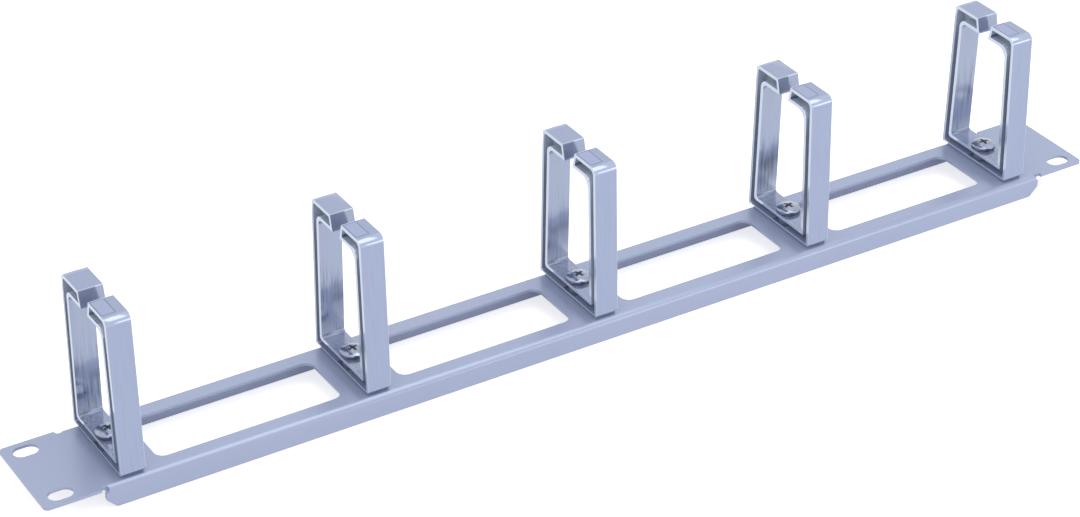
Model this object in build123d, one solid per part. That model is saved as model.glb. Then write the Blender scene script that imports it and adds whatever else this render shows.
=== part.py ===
from build123d import *
import os

# Rack cable management panel, one unit high, lying on the edges of its two flanges.
# The origin is the centre of the panel at the plane of those edges. X runs along the panel,
# Y across it (front is -Y) and Z out of its face, the way the rings stand. All sizes in mm.

# Folded sheet panel
PANEL_LENGTH = 482.6        # over both ears, the width of a 19 inch rack front
PANEL_WIDTH = 43.65         # one rack unit less its clearance
SHEET = 1.2                 # thickness of the steel
FLANGE_DEPTH = 9.3          # from the face to the edge that the panel lies on
BEND_INSIDE_R = 0.8
FOLD_LENGTH = 434.6         # length of both flanges, between the rack's posts
FLANGE_END_CUT = 4.0        # slanted corner at each end of a flange
FLANGE_END_R = 1.2          # rounding of that corner
RELIEF_R = 1.5              # round hole that frees each end of a bend
RELIEF_DROP = 0.9           # how far its centre is folded down over the bend
EAR_CORNER_R = 2.2

# Slots for the rack's screws
SLOT_SPACING_X = 465.1
SLOT_SPACING_Y = 31.75
SLOT_LENGTH = 10.0
SLOT_WIDTH = 6.8

# Windows between the rings
WEB_UNDER_RING = 25.0
WINDOW_WIDTH = 28.1
WINDOW_R = 4.0

# Rings
RING_COUNT = 5
RING_PITCH = 102.6
RING_SHIFT = 1.4            # towards the back flange
RING_HEIGHT = 67.8          # above the panel's face
RING_BASE_WIDTH = 42.6
RING_TOP_WIDTH = 38.6
RING_DEPTH = 10.0           # along the panel, at the parting line
DRAFT = 1.0                 # degrees, to both sides of the parting line
LEG_THICKNESS = 5.3
TOP_THICKNESS = 6.8
BASE_THICKNESS = 5.2
WEB_THICKNESS = 1.6         # the plate in the middle of the section
OUTER_WALL = 1.5
INNER_WALL = 1.7
BASE_OUTER_WALL = 0.8
BASE_INNER_WALL = 1.5
TIP_WALL = 1.5              # closes the channels at the open tips
GAP_TOP = 8.7               # between the tips, where a cable is pushed in
GAP_BOTTOM = 5.4
PAD_HEIGHT = 1.3            # seating pad that lifts the base clear of the bends
PAD_SETBACK_SIDES = 0.4     # from the base's edges
PAD_SETBACK_FRONT = 1.6
PAD_SETBACK_BACK = 3.2      # it ends where the back bend begins
BOSS_R = 4.0                # round the screw's hole, across the base's channels

# Corner radii, each as near the base, far from it at the base, far at the top, near at the top
OUTSIDE_CORNERS = (0.8, 0.8, 1.8, 3.0)
CHANNEL_OUTSIDE_CORNERS = (0.6, 0.6, 0.8, 2.2)
CHANNEL_INSIDE_CORNERS = (0.8, 1.5, 3.8, 4.2)
LOOP_CORNERS = (0.5, 1.2, 2.6, 4.6)

# Screws, washers and nuts
THREAD_D = 5.0
SCREW_LENGTH = 14.0         # below the head
SCREW_HOLE_PLAY = 0.5       # on the diameter, in the ring, the sheet and the washer
THREAD_PLAY = 0.1           # on the diameter, in the nut
SCREW_END_CUT = 0.5
HEAD_D = 10.0
HEAD_SIDE = 1.6
HEAD_DOME = 1.2
HEAD_EDGE_R = 0.6
CROSS_SPAN = 4.4
CROSS_ARM = 1.2
CROSS_DEPTH = 2.1
CROSS_SLANT = 8.0           # degrees
CROSS_TURNS = (24.0, 12.0, 22.0, 18.0, -5.0)    # degrees, how each screw stands once it is tight
WASHER_D = 10.0
WASHER_THICKNESS = 1.0
NUT_ACROSS_FLATS = 8.0
NUT_HEIGHT = 4.0
NUT_CORNER_CUT = 0.5

FACE_Z = FLANGE_DEPTH
BACK_Z = FACE_Z - SHEET
BEND_OUTSIDE_R = BEND_INSIDE_R + SHEET
SCREW_HOLE_D = THREAD_D + SCREW_HOLE_PLAY
UPWARDS = (Align.CENTER, Align.CENTER, Align.MIN)
DOWNWARDS = (Align.CENTER, Align.CENTER, Align.MAX)


def ring_places():
    """The middle of each ring along the panel."""
    return [(i - (RING_COUNT - 1) / 2) * RING_PITCH for i in range(RING_COUNT)]


def corners_of(x, y):
    """The four places at a distance of x and y from the panel's centre."""
    return [(sx * x, sy * y) for sx in (-1, 1) for sy in (-1, 1)]


def flanged_fold():
    """The middle of the sheet with both flanges bent down, its ends cut to the flanges' shape."""
    outer = PANEL_WIDTH / 2
    inner = outer - SHEET
    outside = [(-outer, 0), (-outer, FACE_Z), (outer, FACE_Z), (outer, 0)]
    inside = [(-inner, -SHEET), (-inner, BACK_Z), (inner, BACK_Z), (inner, -SHEET)]
    outside_bends = [0, BEND_OUTSIDE_R, BEND_OUTSIDE_R, 0]
    inside_bends = [0, BEND_INSIDE_R, BEND_INSIDE_R, 0]
    section = make_face(FilletPolyline(*outside, radius=outside_bends, close=True))
    section -= make_face(FilletPolyline(*inside, radius=inside_bends, close=True))
    fold = extrude(Plane.YZ * section, FOLD_LENGTH / 2, both=True)

    end = FOLD_LENGTH / 2
    cut = FLANGE_END_CUT
    side_view = [(-end, FACE_Z), (-end, cut), (-end + cut, 0), (end - cut, 0), (end, cut), (end, FACE_Z)]
    radii = [0, FLANGE_END_R, FLANGE_END_R, FLANGE_END_R, FLANGE_END_R, 0]
    side_face = make_face(FilletPolyline(*side_view, radius=radii, close=True))
    return fold & extrude(Plane.XZ * side_face, PANEL_WIDTH, both=True)


def bend_relief():
    """Round hole at a bend's end, folded over it with the sheet: half looks up, half out of the flange.
    Its origin is on the flange's outer face."""
    top_half = Cylinder(RELIEF_R, RELIEF_DROP + SHEET, align=UPWARDS)
    side_half = Rot(90, 0, 0) * Cylinder(RELIEF_R, 2 * SHEET)
    return Pos(0, RELIEF_R - BEND_OUTSIDE_R, 0) * top_half + side_half


def panel():
    """Folded steel sheet with rack ears, slots, windows and screw holes."""
    sheet = RectangleRounded(PANEL_LENGTH, PANEL_WIDTH, EAR_CORNER_R)
    ears = extrude(Pos(0, 0, BACK_Z) * (sheet - Rectangle(FOLD_LENGTH, PANEL_WIDTH)), SHEET)
    body = flanged_fold() + ears

    for x, y in corners_of(FOLD_LENGTH / 2, PANEL_WIDTH / 2):
        turn = 0 if y > 0 else 180
        body -= Pos(x, y, FACE_Z - RELIEF_DROP) * Rot(0, 0, turn) * bend_relief()

    slots = [Pos(x, y) * SlotOverall(SLOT_LENGTH, SLOT_WIDTH)
             for x, y in corners_of(SLOT_SPACING_X / 2, SLOT_SPACING_Y / 2)]
    window_length = RING_PITCH - WEB_UNDER_RING
    windows = [Pos(x + RING_PITCH / 2, 0) * RectangleRounded(window_length, WINDOW_WIDTH, WINDOW_R)
               for x in ring_places()[:-1]]
    holes = [Pos(x, RING_SHIFT) * Circle(SCREW_HOLE_D / 2) for x in ring_places()]
    cuts = Sketch() + slots + windows + holes
    return body - extrude(Pos(0, 0, BACK_Z) * cuts, SHEET)


def half_width(z):
    """Half of the ring's width at a height: it narrows evenly from base to top."""
    lean = (RING_BASE_WIDTH - RING_TOP_WIDTH) / 2 / (RING_HEIGHT - PAD_HEIGHT)
    return RING_BASE_WIDTH / 2 - lean * (z - PAD_HEIGHT)


def loop_face(leg, top, base, corners):
    """The ring's side view, moved inwards by a distance in the legs, the top and the base."""
    low = PAD_HEIGHT + base
    high = RING_HEIGHT - top
    near_low = (leg - half_width(low), low)
    far_low = (half_width(low) - leg, low)
    far_high = (half_width(high) - leg, high)
    near_high = (leg - half_width(high), high)
    return make_face(FilletPolyline(near_low, far_low, far_high, near_high, radius=corners, close=True))


def gap_face(wall):
    """The funnel between the tips, wider by a wall on both sides."""
    slope = (GAP_TOP - GAP_BOTTOM) / 2 / TOP_THICKNESS
    low = RING_HEIGHT - 2 * TOP_THICKNESS
    high = RING_HEIGHT + TOP_THICKNESS
    half_low = GAP_TOP / 2 + wall - slope * (RING_HEIGHT - low)
    half_high = GAP_TOP / 2 + wall + slope * (high - RING_HEIGHT)
    funnel = [(-half_low, low), (half_low, low), (half_high, high), (-half_high, high)]
    return make_face(Polyline(*funnel, close=True))


def ring():
    """Moulded ring of H section, open at the top, standing on the face at z = 0."""
    outside = loop_face(0, 0, 0, OUTSIDE_CORNERS)
    loop = loop_face(LEG_THICKNESS, TOP_THICKNESS, BASE_THICKNESS, LOOP_CORNERS)
    body = extrude(Plane.YZ * outside, RING_DEPTH / 2, both=True, taper=DRAFT)
    body -= extrude(Plane.YZ * (loop + gap_face(0)), RING_DEPTH, both=True, taper=-DRAFT)

    leg = LEG_THICKNESS - INNER_WALL
    top = TOP_THICKNESS - INNER_WALL
    base = BASE_THICKNESS - BASE_INNER_WALL
    channel = loop_face(OUTER_WALL, OUTER_WALL, BASE_OUTER_WALL, CHANNEL_OUTSIDE_CORNERS)
    channel -= loop_face(leg, top, base, CHANNEL_INSIDE_CORNERS)
    channel -= gap_face(TIP_WALL)
    for side in (-1, 1):
        floor = Plane.YZ.offset(side * WEB_THICKNESS / 2)
        body -= extrude(floor * channel, side * RING_DEPTH / 2, taper=-DRAFT)

    into_base = PAD_HEIGHT + BASE_OUTER_WALL / 2
    front = PAD_SETBACK_FRONT - RING_BASE_WIDTH / 2
    back = RING_BASE_WIDTH / 2 - PAD_SETBACK_BACK
    pad = Box(RING_DEPTH - 2 * PAD_SETBACK_SIDES, back - front, into_base, align=UPWARDS)
    body += Pos(0, (front + back) / 2, 0) * pad
    body += Pos(0, 0, into_base) * Cylinder(BOSS_R, PAD_HEIGHT + BASE_THICKNESS - into_base, align=UPWARDS)
    return body - Cylinder(SCREW_HOLE_D / 2, PAD_HEIGHT + BASE_THICKNESS, align=UPWARDS)


def screw():
    """Pan-head screw with a cross recess. The underside of its head is at z = 0."""
    r = HEAD_D / 2
    crown = HEAD_SIDE + HEAD_DOME
    sphere_r = (r * r + HEAD_DOME * HEAD_DOME) / 2 / HEAD_DOME
    side = Polyline((0, crown), (0, 0), (r, 0), (r, HEAD_SIDE))
    profile = make_face(side + RadiusArc((r, HEAD_SIDE), (0, crown), -sphere_r))
    shoulder = profile.vertices().sort_by_distance((r, HEAD_SIDE))[0]
    head = revolve(Plane.XZ * fillet(shoulder, HEAD_EDGE_R), Axis.Z)

    cross = Rectangle(CROSS_SPAN, CROSS_ARM) + Rectangle(CROSS_ARM, CROSS_SPAN)
    head -= extrude(Pos(0, 0, crown) * cross, -CROSS_DEPTH, taper=CROSS_SLANT)

    shank = Cylinder(THREAD_D / 2, SCREW_LENGTH, align=DOWNWARDS)
    shank = chamfer(shank.edges().sort_by(Axis.Z)[0], SCREW_END_CUT)
    return head + shank


def washer():
    """Flat washer, its lower face at z = 0."""
    return extrude(Circle(WASHER_D / 2) - Circle(SCREW_HOLE_D / 2), WASHER_THICKNESS)


def nut():
    """Hexagon nut with its corners turned off at both faces, its lower face at z = 0."""
    hexagon = RegularPolygon(NUT_ACROSS_FLATS / 2, 6, major_radius=False)
    corner_r = hexagon.vertices()[0].distance_to((0, 0, 0))
    blank = extrude(hexagon, NUT_HEIGHT)
    turned = Cylinder(corner_r, NUT_HEIGHT, align=UPWARDS)
    turned = chamfer(turned.edges().filter_by(GeomType.CIRCLE), NUT_CORNER_CUT)
    return (blank & turned) - extrude(Circle((THREAD_D + THREAD_PLAY) / 2), NUT_HEIGHT)


os.makedirs("parts", exist_ok=True)
export_step(panel(), "parts/panel.step")

one_ring = ring()
one_screw = screw()
one_washer = washer()
one_nut = nut()
head_seat = FACE_Z + PAD_HEIGHT + BASE_THICKNESS
washer_z = BACK_Z - WASHER_THICKNESS
nut_z = washer_z - NUT_HEIGHT
for number, x in enumerate(ring_places(), start=1):
    turned_screw = Rot(0, 0, CROSS_TURNS[(number - 1) % len(CROSS_TURNS)]) * one_screw
    export_step(Pos(x, RING_SHIFT, FACE_Z) * one_ring, f"parts/ring_{number}.step")
    export_step(Pos(x, RING_SHIFT, head_seat) * turned_screw, f"parts/screw_{number}.step")
    export_step(Pos(x, RING_SHIFT, washer_z) * one_washer, f"parts/washer_{number}.step")
    export_step(Pos(x, RING_SHIFT, nut_z) * one_nut, f"parts/nut_{number}.step")
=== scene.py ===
import math

import bpy
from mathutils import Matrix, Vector


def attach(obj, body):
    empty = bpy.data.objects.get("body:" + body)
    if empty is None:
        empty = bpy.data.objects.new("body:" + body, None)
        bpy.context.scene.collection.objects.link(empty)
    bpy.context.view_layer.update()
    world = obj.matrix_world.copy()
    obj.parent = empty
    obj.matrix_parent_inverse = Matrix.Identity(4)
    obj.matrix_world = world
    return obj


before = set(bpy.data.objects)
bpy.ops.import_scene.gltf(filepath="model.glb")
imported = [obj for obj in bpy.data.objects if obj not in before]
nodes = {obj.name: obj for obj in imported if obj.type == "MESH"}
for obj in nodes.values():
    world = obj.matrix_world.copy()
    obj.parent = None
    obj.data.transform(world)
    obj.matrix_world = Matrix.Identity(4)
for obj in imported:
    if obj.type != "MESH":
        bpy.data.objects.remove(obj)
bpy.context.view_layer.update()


# Camera. The photograph is taken from the front left and above, about 1.2 m from the middle of the
# panel, with a long lens. The three angles are tilt, roll and turn.
CAMERA_PLACE = (-0.5471, -0.8665, 0.6565)
CAMERA_ANGLES = (58.404, 0.106, -31.430)
CAMERA_LENS = 100.8
CAMERA_SENSOR = 36.0
CAMERA_NEAREST = 0.01
CAMERA_FARTHEST = 50.0

camera_data = bpy.data.cameras.new("camera")
camera_data.sensor_width = CAMERA_SENSOR
camera_data.lens = CAMERA_LENS
camera_data.clip_start = CAMERA_NEAREST
camera_data.clip_end = CAMERA_FARTHEST
camera = bpy.data.objects.new("camera", camera_data)
camera.location = CAMERA_PLACE
camera.rotation_euler = [math.radians(angle) for angle in CAMERA_ANGLES]
bpy.context.scene.collection.objects.link(camera)
bpy.context.scene.camera = camera
bpy.context.scene.view_settings.view_transform = "Standard"


# Panel. It is one blank of 1.2 mm steel sheet, punched with its slots, windows and holes, then bent
# along both long sides, and powder coated all over in one pale blue grey.
COAT_COLOUR = (0.395, 0.45, 0.63)
COAT_COLOUR_PALE = (0.41, 0.465, 0.645)
COAT_METALLIC = 0.35
COAT_ROUGHNESS = 0.26
PEEL_SIZE = 0.0016          # of the coat's waves, in metres, like all lengths here
GRAIN_SIZE = 0.0003
COAT_CLOUD_SIZE = 0.06      # of the paler and darker areas
COAT_RELIEF = 0.00004       # from the lowest to the highest point of its texture
COAT_BUMP = 0.25            # the strength of that texture
SHEET_EDGE_R = 0.00018
SHARP_ANGLE = 25.0          # an edge between faces that turn by more degrees is bevelled
BEVEL_SEGMENTS = 2
WELD_DISTANCE = 0.000002

# A Mix node has sockets of the same name for numbers, vectors and colours, so these are their numbers.
MIX_FACTOR = 0
MIX_COLOUR_A = 6
MIX_COLOUR_B = 7
MIX_COLOUR_RESULT = 2


class Wire:
    """An output of a shader node. An expression on wires adds the Math nodes that work it out."""

    def __init__(self, tree, socket=None):
        self.tree = tree
        self.socket = socket

    def node(self, kind, settings, inputs, output=0):
        """Adds a node of a kind: its settings first, then the values or wires of its sockets."""
        made = self.tree.nodes.new(kind)
        for name, value in settings.items():
            setattr(made, name, value)
        for name, value in inputs.items():
            if isinstance(value, Wire):
                self.tree.links.new(value.socket, made.inputs[name])
            else:
                made.inputs[name].default_value = value
        return Wire(self.tree, made.outputs[output])

    def maths(self, operation, *values):
        return self.node("ShaderNodeMath", {"operation": operation}, dict(enumerate(values)))

    def __add__(self, other):
        return self.maths("ADD", self, other)

    __radd__ = __add__

    def __sub__(self, other):
        return self.maths("SUBTRACT", self, other)

    def __rsub__(self, other):
        return self.maths("SUBTRACT", other, self)

    def __mul__(self, other):
        return self.maths("MULTIPLY", self, other)

    def __truediv__(self, other):
        return self.maths("DIVIDE", self, other)

    def __abs__(self):
        return self.maths("ABSOLUTE", self)

    def rounded(self):
        return self.maths("ROUND", self)

    def root(self):
        return self.maths("SQRT", self)

    def least(self, *others):
        """The smallest of this wire and the others."""
        wire = self
        for other in others:
            wire = wire.maths("MINIMUM", wire, other)
        return wire

    def most(self, *others):
        """The largest of this wire and the others."""
        wire = self
        for other in others:
            wire = wire.maths("MAXIMUM", wire, other)
        return wire

    def rise(self, low, high):
        """0 below low and 1 above high, smooth in between."""
        settings = {"interpolation_type": "SMOOTHSTEP"}
        return self.node("ShaderNodeMapRange", settings, {0: self, 1: low, 2: high, 3: 0.0, 4: 1.0})

    def fall(self, low, high):
        """1 below low and 0 above high, smooth in between."""
        return 1 - self.rise(low, high)

    def tint(self, colour, other):
        """A colour, or a wire of colours, where this wire is 0, and the other colour where it is 1."""
        first = colour if isinstance(colour, Wire) else (*colour, 1.0)
        inputs = {MIX_FACTOR: self, MIX_COLOUR_A: first, MIX_COLOUR_B: (*other, 1.0)}
        return self.node("ShaderNodeMix", {"data_type": "RGBA"}, inputs, MIX_COLOUR_RESULT)


def finish_named(name, **constants):
    """A new material with a plain shader: the material, a first wire and its Principled node."""
    material = bpy.data.materials.new(name)
    material.use_nodes = True
    shader = material.node_tree.nodes["Principled BSDF"]
    for socket, value in constants.items():
        shader.inputs[socket.replace("_", " ")].default_value = value
    return material, Wire(material.node_tree), shader


def connect(wires, shader):
    """Connects wires to the sockets of a shader that they are named for."""
    for socket, wire in wires.items():
        wire.tree.links.new(wire.socket, shader.inputs[socket])


def place_of(start, stretch=(1.0, 1.0, 1.0)):
    """Where a point of the surface is in metres, stretched along each axis."""
    where = start.node("ShaderNodeTexCoord", {}, {}, "Object")
    return start.node("ShaderNodeVectorMath", {"operation": "MULTIPLY"}, {0: where, 1: stretch})


def noise(where, size, detail=2.0):
    """Noise whose features are about as large as size, in metres."""
    inputs = {"Vector": where, "Scale": 1.0 / size, "Detail": detail}
    return where.node("ShaderNodeTexNoise", {}, inputs, "Fac")


def dress(name, material, edge_r):
    """Gives a CAD node its material and breaks its sharp edges by a small radius."""
    node = nodes[name]
    node.data.materials.clear()
    node.data.materials.append(material)
    weld = node.modifiers.new("weld", "WELD")
    weld.merge_threshold = WELD_DISTANCE
    bevel = node.modifiers.new("edges", "BEVEL")
    bevel.width = edge_r
    bevel.segments = BEVEL_SEGMENTS
    bevel.limit_method = "ANGLE"
    bevel.angle_limit = math.radians(SHARP_ANGLE)
    bevel.harden_normals = True


coat, start, shader = finish_named("powder coat", Metallic=COAT_METALLIC)
where = place_of(start)
peel = noise(where, PEEL_SIZE, 1.0)
grain = noise(where, GRAIN_SIZE, 1.0)
cloud = noise(where, COAT_CLOUD_SIZE, 3.0)
height = peel * 0.7 + grain * 0.3
bump = start.node("ShaderNodeBump", {}, {"Strength": COAT_BUMP, "Distance": COAT_RELIEF, "Height": height})
colour = (cloud * 0.6 + grain * 0.4).rise(0.35, 0.65).tint(COAT_COLOUR, COAT_COLOUR_PALE)
roughness = COAT_ROUGHNESS + cloud * 0.08 + peel * 0.06
connect({"Base Color": colour, "Roughness": roughness, "Normal": bump}, shader)
dress("panel", coat, SHEET_EDGE_R)


# Rings. Each one is moulded in a single shot of glossy plastic in a two-part mould that closes in the
# middle of its depth, so a fine parting line runs round it, and the walls lean away from that line.
# The cores of the mould leave its channels duller than its polished outer faces; their greyer tone is
# painted shade.
PLASTIC_COLOUR = (0.365, 0.425, 0.60)
# painted light: the loop's inner faces are painted lighter than the outer faces
LOOP_LIGHT_COLOUR = (0.395, 0.45, 0.60)
# painted shade on the loop's floor
LOOP_FLOOR_SHADE_COLOUR = (0.37, 0.42, 0.585)
# painted shade in the loop's low corners
CREASE_SHADE_COLOUR = (0.26, 0.30, 0.43)
# painted light reflected onto the foot of the loop's inner faces
LOOP_FOOT_LIGHT_COLOUR = (0.59, 0.64, 0.73)
# flow streaks, which low in the loop are also a painted reflection of shade
STREAK_AND_SHADE_COLOUR = (0.20, 0.22, 0.28)
# painted shade: the channels' greyer tone stands in for the shade in these narrow grooves
CHANNEL_SHADE_COLOUR = (0.39, 0.445, 0.545)
# painted light near the open top of the channels
CHANNEL_TOP_LIGHT_COLOUR = (0.53, 0.59, 0.69)
# painted shade in the channels of the base
CHANNEL_FOOT_SHADE_COLOUR = (0.36, 0.40, 0.55)
# painted shade on the boss in the base's channel
BOSS_SHADE_COLOUR = (0.17, 0.19, 0.28)
# painted highlight on the rims and the tips' top edges
RIM_HIGHLIGHT_COLOUR = (0.62, 0.69, 0.84)
# painted highlight on the rounded top corner
CORNER_HIGHLIGHT_COLOUR = (0.445, 0.51, 0.69)
# painted shade on the tips' end faces at the gap
TIP_END_SHADE_COLOUR = (0.345, 0.39, 0.53)
# the step is real; its lighter, bluer tone is painted light on the tip's top
MARK_LIGHT_COLOUR = (0.39, 0.445, 0.655)
# painted shade along the edge of the mark's step
MARK_EDGE_SHADE_COLOUR = (0.13, 0.15, 0.24)
# painted shade on the pad under the base
FOOT_SHADE_COLOUR = (0.28, 0.32, 0.43)
PLASTIC_METALLIC = 0.62
PLASTIC_ROUGHNESS = 0.09
PLASTIC_RELIEF = 0.00004
PLASTIC_BUMP = 0.3
FLOW_SIZE = 0.0009          # of the streaks across a leg
FLOW_STRETCH = (1.0, 1.0, 0.04)
SKIN_SIZE = 0.0005
PLASTIC_CLOUD_SIZE = 0.02

PITCH = 0.1026
RING_EDGE_R = 0.00022
RING_MIDDLE = 0.0014        # its middle across the panel
RING_HALF = 0.0216          # half of its width at the plane of the flange edges
RING_LEAN = 0.0301          # how much each leg leans in per metre of height
RING_BOTTOM = 0.0106        # underside of its base
RING_TOP = 0.0771
CORNER_R = 0.0030           # of its front corner at the top, outside
LEG_THICKNESS = 0.0053
TOP_THICKNESS = 0.0068
BASE_THICKNESS = 0.0052
BASE_TOP = RING_BOTTOM + BASE_THICKNESS
GAP_HALF = 0.00435          # half of the gap between the tips
GAP_FROM = 0.02             # the gap is looked for above this height, so not in the base
BOSS_R = 0.004              # round the screw, across the channels of the base

# Tones of a ring, each as the two distances or heights between which it comes or goes
PARTING_LINE = (0.0, 0.00012)           # from the line
RIM_HIGHLIGHT = (0.00482, 0.00497)                # from the parting line, to the painted highlight on the outermost edges
CHANNEL_MOUTH = (0.0047, 0.0048)        # from the parting line
CHANNEL_WALL = (0.0004, 0.0006)         # in from the ring's outline
LOOP_FACE = (0.0001, 0.0004)            # in from the loop
LOOP_FLOOR_SHADE = (0.0001, 0.0003)           # up from the base, for the painted shade on the loop's floor
LOOP_FOOT_LIGHT_FROM = (0.0003, 0.001)             # up from the base, which itself gets none of this painted light
CREASE_SHADE = (0.0006, 0.0013)               # from the loop's low corners, for the painted shade in them
CREASE_DULL = (0.001, 0.0015)
TOP_CORNER = (CORNER_R - 0.0008, CORNER_R)
TIP_FACE = (GAP_HALF + 0.0003, GAP_HALF + 0.0004)
TIP_END_SHADE = (RING_TOP - 0.01, RING_TOP - 0.009)
TIP_EDGE = (RING_TOP - 0.0004, RING_TOP - 0.0003)
FAR_HALF = (0.0, 0.001)                 # across from the ring's middle
FAR_WALL = (0.0014, 0.0016)             # in from the side
FAR_WALL_TOP = (RING_TOP - 0.006, RING_TOP - 0.002)
CHANNEL_FOOT = (BASE_TOP, BASE_TOP + 0.0005)
CHANNEL_TOP_LIGHT = (0.058, 0.07)
BOSS = (BOSS_R, BOSS_R + 0.0002)
FOOT = (RING_BOTTOM, RING_BOTTOM + 0.0001)
LOOP_FOOT_LIGHT = (0.0165, 0.0245)                 # painted light, reflected up from the base onto the foot of the loop's inner faces
STREAKS_TOP = (0.035, 0.06)

# A shallow step on top of the front tip, where the mould pushed the ring out
MARK_ALONG = (-0.0047, 0.0012)
MARK_ACROSS = (-0.0141, -0.0034)
MARK_UP = (RING_TOP - 0.0002, RING_TOP - 0.0001)
MARK_SOFTNESS = 0.0005


def axes_of(where):
    """Three wires: how far a place is along the panel, across it and up from its flange edges."""
    along = where.node("ShaderNodeSeparateXYZ", {}, {0: where}, "X")
    across, up = [Wire(where.tree, along.socket.node.outputs[name]) for name in "YZ"]
    return along, across, up


def from_middle(along):
    """How far a place is along the panel from the middle of the nearest ring."""
    return along - (along / PITCH).rounded() * PITCH


def between(wire, low, high, edge):
    """1 where a wire lies between two values, 0 outside, with edges of a given width."""
    return wire.rise(low, low + edge) * wire.fall(high - edge, high)


# The distances that the tones are worked out from
plastic, start, shader = finish_named("moulded plastic", IOR=1.5)
where = place_of(start)
along, across, up = axes_of(where)
offset = from_middle(along)
from_parting = abs(offset)
aside = abs(across - RING_MIDDLE)
from_side = RING_HALF - up * RING_LEAN - aside
corner_across = (CORNER_R - from_side).most(0.0)
corner_up = (CORNER_R - RING_TOP + up).most(0.0)
from_corner = CORNER_R - (corner_across * corner_across + corner_up * corner_up).root()
from_outside = from_corner.least(up - RING_BOTTOM)
above_loop = TOP_THICKNESS - RING_TOP + up
below_loop = BASE_TOP - up
from_loop = (LEG_THICKNESS - from_side).most(above_loop, below_loop)
from_gap = (aside - GAP_HALF).most(GAP_FROM - up)
from_low_corner = abs(LEG_THICKNESS - from_side).most(abs(below_loop))

# The parts of the ring that get a tone of their own, most of them for painted light or shade
in_outline = from_outside.least(from_loop, from_gap)
in_channel = in_outline.rise(*CHANNEL_WALL) * from_parting.fall(*CHANNEL_MOUTH)
in_foot = in_channel * up.fall(*CHANNEL_FOOT)
boss_shade = in_foot * aside.fall(*BOSS)
in_loop = from_loop.fall(*LOOP_FACE)
at_gap = aside.fall(*TIP_FACE)
far_half = (across - RING_MIDDLE).rise(*FAR_HALF)
behind = far_half * from_side.fall(*FAR_WALL) * up.fall(*FAR_WALL_TOP)
# Painted highlight on the rims, weaker on the far leg, and on the tips' top edges at the gap.
rim_highlight = (from_parting.rise(*RIM_HIGHLIGHT) * (1 - behind * 0.7)).most(at_gap * up.rise(*TIP_EDGE))
top_corner = from_side.most(RING_TOP - up).fall(*TOP_CORNER)
dull_corner = from_low_corner.fall(*CREASE_DULL).most(top_corner * 0.35)
foot = up.fall(*FOOT)
mark = between(offset, *MARK_ALONG, MARK_SOFTNESS) * between(across, *MARK_ACROSS, MARK_SOFTNESS)
mark = mark * up.rise(*MARK_UP)
# Painted shade along the step's edge.
mark_edge_shade = mark * (1 - mark) * 4.0         # 1 halfway up the step

flow = noise(place_of(start, FLOW_STRETCH), FLOW_SIZE)
skin = noise(where, SKIN_SIZE)
cloud = noise(where, PLASTIC_CLOUD_SIZE)
line = from_parting.fall(*PARTING_LINE)
height = line * 0.6 + flow * in_loop * 0.2 + skin * 0.03 + skin * in_channel * 0.4 - mark
relief = {"Strength": PLASTIC_BUMP, "Distance": PLASTIC_RELIEF, "Height": height}
bump = start.node("ShaderNodeBump", {}, relief)
# Dark streaks low on the loop's inner faces: the flow marks are real, their darkness is a painted
# reflection of the shade mirrored there.
streaks_and_shade = flow.rise(0.47, 0.62) * in_loop * cloud.rise(0.3, 0.7) * up.fall(*STREAKS_TOP)
faint_streaks = (1 - in_loop) * flow.rise(0.45, 0.7) * 0.08

# Painted light: the loop's inner faces get a lighter tone than the rest of the ring.
colour = in_loop.tint(PLASTIC_COLOUR, LOOP_LIGHT_COLOUR)
# Painted shade: the loop's floor is painted darker.
colour = (in_loop * abs(below_loop).fall(*LOOP_FLOOR_SHADE)).tint(colour, LOOP_FLOOR_SHADE_COLOUR)
# Painted shade: the tips' end faces at the gap are painted darker.
colour = (at_gap * up.rise(*TIP_END_SHADE)).tint(colour, TIP_END_SHADE_COLOUR)
# Painted light: a pale tone at the foot of the loop's inner faces, for the light the base reflects onto
# them.
colour = (in_loop * up.fall(*LOOP_FOOT_LIGHT) * abs(below_loop).rise(*LOOP_FOOT_LIGHT_FROM)).tint(colour, LOOP_FOOT_LIGHT_COLOUR)
# Painted shade: the loop's low corners are painted darker.
colour = (from_low_corner.fall(*CREASE_SHADE) * in_loop).tint(colour, CREASE_SHADE_COLOUR)
colour = (streaks_and_shade * 0.8).most(faint_streaks).tint(colour, STREAK_AND_SHADE_COLOUR)
# Painted highlight: the rounded top corner is painted lighter.
colour = top_corner.tint(colour, CORNER_HIGHLIGHT_COLOUR)
# Painted light: the mark on the front tip's top is painted lighter.
colour = mark.tint(colour, MARK_LIGHT_COLOUR)
colour = mark_edge_shade.tint(colour, MARK_EDGE_SHADE_COLOUR)
# Painted shade: the channels are painted greyer, and those of the base darker still.
colour = in_channel.tint(colour, CHANNEL_SHADE_COLOUR)
# Painted light: the channels are painted paler towards the tips.
colour = (in_channel * up.rise(*CHANNEL_TOP_LIGHT)).tint(colour, CHANNEL_TOP_LIGHT_COLOUR)
colour = in_foot.tint(colour, CHANNEL_FOOT_SHADE_COLOUR)
# Painted shade: the boss round the screw is painted dark.
colour = boss_shade.tint(colour, BOSS_SHADE_COLOUR)
colour = rim_highlight.tint(colour, RIM_HIGHLIGHT_COLOUR)
# Painted shade: the pad under the base is painted dark.
colour = foot.tint(colour, FOOT_SHADE_COLOUR)

roughness = PLASTIC_ROUGHNESS + flow * 0.05 + skin * 0.03
roughness = roughness + in_channel * 0.2 + foot * 0.4 + dull_corner * 0.18
metallic = PLASTIC_METALLIC - in_channel * 0.45
connect({"Base Color": colour, "Metallic": metallic, "Roughness": roughness, "Normal": bump}, shader)
for number in range(1, 6):
    dress(f"ring_{number}", plastic, RING_EDGE_R)


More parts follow.
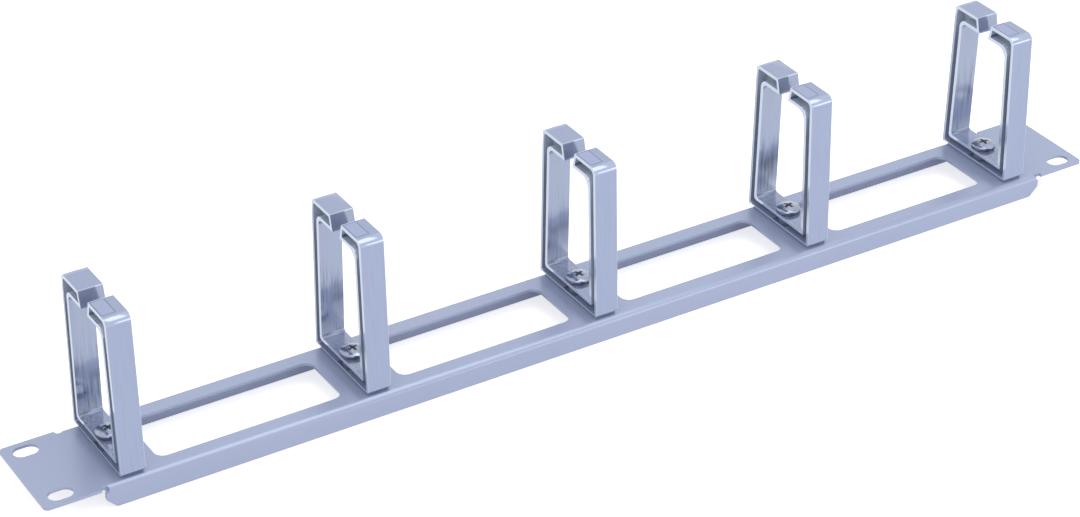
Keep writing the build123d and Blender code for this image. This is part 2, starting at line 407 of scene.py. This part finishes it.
# Screws, washers and nuts. They are zinc plated steel: a pan head with a cross recess in each ring's
# base, and under the sheet a flat washer and a hexagon nut. The ridge of the rolled thread shows on
# the end of the shank that stands out of the nut.
ZINC_COLOUR = (0.42, 0.47, 0.59)
ZINC_COLOUR_DULL = (0.31, 0.34, 0.43)
HEAD_SIDE_SHADE_COLOUR = (0.17, 0.19, 0.27)
# painted shade on the side of the screw head
RECESS_COLOUR = (0.42, 0.46, 0.50)
ZINC_ROUGHNESS = 0.12
ZINC_RELIEF = 0.0000075
PATINA_SIZE = 0.002
SCRATCH_SIZE = 0.00025
SCRATCH_STRETCH = (1.0, 1.0, 4.0)
RECESS = (0.0023 ** 2, 0.0023 ** 2 * 1.02)      # squares of distances from the screw's middle
RECESS_TOP = 0.0183         # below the dome's lowest point over the recess
HEAD_FROM = 0.0158          # the plane that the head stands on
HEAD_SHOULDER = 0.0172
HEAD_SOFTNESS = 0.0001      # of the steps between its tones
HARDWARE_EDGE_R = 0.00012
THREAD_PITCH = 0.0008
THREAD_FROM = 0.00215       # the ridge of the thread runs from near the shank's end to the nut
THREAD_TURNS = 1.0
THREAD_STEPS = 40           # in each turn
THREAD_FADE = 6             # steps over which it grows from the shank at both its ends
SHANK_R = 0.0025
# The ridge's four corners, each as its height over the shank and its place along it
THREAD_PROFILE = ((-0.00001, -0.00026), (0.00011, -0.00006), (0.00011, 0.00006), (-0.00001, 0.00026))

zinc, start, shader = finish_named("zinc plate", Metallic=1.0)
where = place_of(start)
along, across, up = axes_of(where)
offset = from_middle(along)
aside = across - RING_MIDDLE
patina = noise(where, PATINA_SIZE, 3.0)
scratch = noise(place_of(start, SCRATCH_STRETCH), SCRATCH_SIZE)
bump = start.node("ShaderNodeBump", {}, {"Strength": 1.0, "Distance": ZINC_RELIEF, "Height": scratch})
side = between(up, HEAD_FROM - HEAD_SOFTNESS, HEAD_SHOULDER, HEAD_SOFTNESS)
in_recess = (offset * offset + aside * aside).fall(*RECESS)
in_recess = in_recess * between(up, HEAD_FROM, RECESS_TOP, HEAD_SOFTNESS)
colour = patina.rise(0.3, 0.7).tint(ZINC_COLOUR, ZINC_COLOUR_DULL)
# Painted shade: the side of the head is painted dark.
colour = side.tint(colour, HEAD_SIDE_SHADE_COLOUR)
colour = in_recess.tint(colour, RECESS_COLOUR)
roughness = ZINC_ROUGHNESS + patina * 0.1 + side * 0.2 + in_recess * 0.3
connect({"Base Color": colour, "Roughness": roughness, "Normal": bump}, shader)
for number in range(1, 6):
    for kind in ("screw", "washer", "nut"):
        dress(f"{kind}_{number}", zinc, HARDWARE_EDGE_R)


def thread_ridge(name, middle):
    """The ridge of a thread round the end of a shank, from a profile that climbs as it turns."""
    corners = len(THREAD_PROFILE)
    steps = round(THREAD_TURNS * THREAD_STEPS)
    points = []
    faces = [tuple(range(corners))]
    for step in range(steps + 1):
        turn = step / THREAD_STEPS
        grown = min(1.0, (step + 1) / THREAD_FADE, (steps + 1 - step) / THREAD_FADE)
        for out, rise in THREAD_PROFILE:
            reach = SHANK_R + out * grown
            x = middle + reach * math.cos(turn * math.tau)
            y = RING_MIDDLE + reach * math.sin(turn * math.tau)
            points.append((x, y, THREAD_FROM + turn * THREAD_PITCH + rise * grown))
        if step:
            first = (step - 1) * corners
            for corner in range(corners):
                following = (corner + 1) % corners
                faces.append((
                    first + corner, first + corners + corner,
                    first + corners + following, first + following,
                ))
    faces.append(tuple(steps * corners + corner for corner in reversed(range(corners))))
    mesh = bpy.data.meshes.new(name)
    mesh.from_pydata(points, [], faces)
    mesh.materials.append(zinc)
    piece = bpy.data.objects.new(name, mesh)
    bpy.context.scene.collection.objects.link(piece)
    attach(piece, "root")


for number in range(1, 6):
    thread_ridge(f"thread_{number}", (number - 3) * PITCH)


# Studio. The panel lies on a white ground under a large soft light from above, a long low light
# stands in front to the right, and the white surroundings light it from all sides.
FLOOR_SIZE = 8.0
FLOOR_DROP = 0.0003         # below the flange edges, so that the two don't share a plane
FLOOR_COLOUR = 0.75
FLOOR_GLOW = 0.68           # what the eye sees of the ground above the light that it gives back
MIRRORED_GLOW = 0.45        # the same in a mirrored view of it
SKY_LIGHT = 0.72
LIGHTS_AIM = (0.0, 0.0, 0.03)


def grey(level):
    return level, level, level


def seen_rays(start):
    """Two wires: 1 for a ray from the camera, and 1 for a ray that was mirrored or bent on its way."""
    eye = start.node("ShaderNodeLightPath", {}, {}, "Is Camera Ray")
    outputs = eye.socket.node.outputs
    mirrored, bent = [Wire(start.tree, outputs[name]) for name in ("Is Glossy Ray", "Is Transmission Ray")]
    return eye, mirrored.most(bent)


floor_mesh = bpy.data.meshes.new("floor")
half = FLOOR_SIZE / 2
corners = [(-half, -half, 0), (half, -half, 0), (half, half, 0), (-half, half, 0)]
floor_mesh.from_pydata(corners, [], [(0, 1, 2, 3)])
floor = bpy.data.objects.new("floor", floor_mesh)
floor.location.z = -FLOOR_DROP
bpy.context.scene.collection.objects.link(floor)
ground, start, shader = finish_named("white ground", Roughness=0.9, Base_Color=(*grey(FLOOR_COLOUR), 1.0))
shader.inputs["Specular IOR Level"].default_value = 0.0
shader.inputs["Emission Strength"].default_value = 1.0
eye, mirrored = seen_rays(start)
glow = mirrored.tint(grey(0.0), grey(MIRRORED_GLOW))
glow = eye.tint(glow, grey(FLOOR_GLOW))
connect({"Emission Color": glow}, shader)
floor.data.materials.append(ground)

world = bpy.data.worlds.new("surroundings")
bpy.context.scene.world = world
world.use_nodes = True
background = world.node_tree.nodes["Background"]
eye, mirrored = seen_rays(Wire(world.node_tree))
connect({"Color": eye.most(mirrored).tint(grey(SKY_LIGHT), grey(1.0))}, background)


def soft_light(name, place, width, height, power):
    """A soft light that looks at the middle of the panel."""
    data = bpy.data.lights.new(name, "AREA")
    data.shape = "RECTANGLE"
    data.size = width
    data.size_y = height
    data.energy = power
    lamp = bpy.data.objects.new(name, data)
    lamp.location = place
    aim = Vector(LIGHTS_AIM) - Vector(place)
    lamp.rotation_euler = aim.to_track_quat("-Z", "Y").to_euler()
    bpy.context.scene.collection.objects.link(lamp)


soft_light("key", place=(0.15, -0.4, 1.4), width=1.3, height=1.3, power=7.0)
soft_light("low", place=(0.95, -1.45, 0.17), width=1.7, height=0.32, power=3.6)
